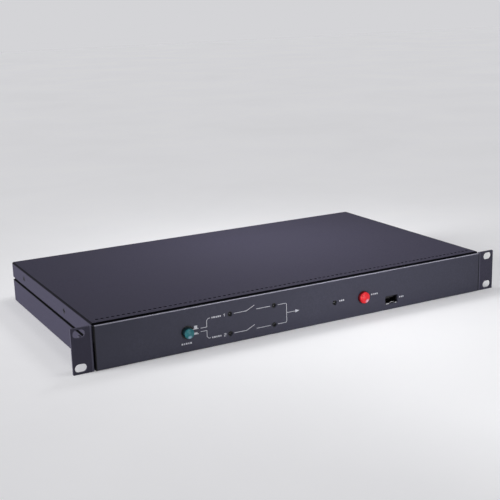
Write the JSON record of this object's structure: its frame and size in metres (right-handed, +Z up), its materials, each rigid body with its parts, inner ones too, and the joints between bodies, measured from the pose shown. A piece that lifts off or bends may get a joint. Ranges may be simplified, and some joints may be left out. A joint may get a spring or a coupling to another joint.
{
  "type": "rack static transfer switch",
  "caption": "Flat rack-mount static transfer switch with slotted ears, a folded case, a front panel with push buttons, indicator lamps, a line diagram and a service socket.",
  "frame": {"origin": "middle of the flat underside, halfway between the ears' front faces and the rear", "axes": "+X to the right seen from the front, +Y to the rear, +Z up"},
  "size_m": [0.48, 0.2744, 0.044],
  "materials": {
    "case_paint": "satin",
    "fascia_paint": "satin",
    "dark_zinc": "satin",
    "bright_zinc": "satin",
    "print_white": "matte",
    "button_green": "gloss",
    "button_red": "gloss",
    "black_plastic": "matte",
    "lamp_lens": "gloss",
    "socket_metal": "satin",
    "board_green": "satin",
    "chip_black": "matte",
    "relay_blue": "gloss",
    "capacitor_yellow": "gloss",
    "capacitor_sleeve": "gloss",
    "terminal_grey": "matte",
    "core_steel": "satin",
    "sink_aluminium": "satin",
    "brass": "satin",
    "wire_black": "satin",
    "ribbon_grey": "matte"
  },
  "bodies": {
    "case": {"chassis_tray": "case_paint", "top_cover": "case_paint", "rack_ear_left": "case_paint", "rack_ear_right": "case_paint", "ear_screws": "dark_zinc", "cover_screws": "dark_zinc", "floor_screws": "dark_zinc", "front_fascia": "fascia_paint", "fascia_nuts": "bright_zinc", "fascia_print": "print_white", "source_select_switch": "black_plastic", "reset_switch": "black_plastic", "lamp_holders": "black_plastic", "mimic_lamps": "lamp_lens", "fault_lamp": "lamp_lens", "service_socket_shell": "socket_metal", "service_socket_tongue": "black_plastic", "display_board": "board_green", "display_spacers": "bright_zinc", "board_screws": "bright_zinc", "floor_spacers": "bright_zinc", "control_board": "board_green", "control_chips": "chip_black", "ribbon_headers": "black_plastic", "ribbon_cable": "ribbon_grey", "power_board": "board_green", "isolating_relays": "relay_blue", "film_capacitors": "capacitor_yellow", "reservoir_capacitors": "capacitor_sleeve", "terminal_blocks": "terminal_grey", "mains_wiring": "wire_black", "control_transformers": "core_steel", "current_sensors": "core_steel", "heat_sink": "sink_aluminium", "thyristor_modules": "chip_black", "module_screws": "bright_zinc", "rear_panel": "case_paint", "fan_screws": "dark_zinc", "breaker_nuts": "bright_zinc", "earth_stud": "brass", "earth_nuts": "brass", "fan_1_frame": "black_plastic", "fan_2_frame": "black_plastic", "fan_guards": "bright_zinc", "inlet_1": "black_plastic", "inlet_1_pins": "brass", "inlet_2": "black_plastic", "inlet_2_pins": "brass", "breaker_1": "black_plastic", "breaker_2": "black_plastic", "outlets": "black_plastic", "large_outlet": "black_plastic"},
    "source_select_button": {"source_select_button": "button_green"},
    "reset_button": {"reset_button": "button_red"},
    "fan_1_rotor": {"fan_1_rotor": "black_plastic"},
    "fan_2_rotor": {"fan_2_rotor": "black_plastic"},
    "breaker_1_button": {"breaker_1_button": "button_red"},
    "breaker_2_button": {"breaker_2_button": "button_red"}
  },
  "joints": [
    {"name": "source_select_button_press", "type": "slide", "parent": "case", "child": "source_select_button", "axis": [0, 1, 0], "range_m": [0, 0.003], "stiffness_N_per_m": 500, "springref_m": -0.002},
    {"name": "reset_button_press", "type": "slide", "parent": "case", "child": "reset_button", "axis": [0, 1, 0], "range_m": [0, 0.003], "stiffness_N_per_m": 500, "springref_m": -0.002},
    {"name": "fan_1_spin", "type": "hinge", "parent": "case", "child": "fan_1_rotor", "pos_m": [-0.19219, 0.1143, 0.022], "axis": [0, 1, 0], "continuous": true},
    {"name": "fan_2_spin", "type": "hinge", "parent": "case", "child": "fan_2_rotor", "pos_m": [-0.14708, 0.1143, 0.022], "axis": [0, 1, 0], "continuous": true},
    {"name": "breaker_1_trip", "type": "slide", "parent": "case", "child": "breaker_1_button", "axis": [0, 1, 0], "range_m": [0, 0.005]},
    {"name": "breaker_2_trip", "type": "slide", "parent": "case", "child": "breaker_2_button", "axis": [0, 1, 0], "range_m": [0, 0.005]}
  ]
}
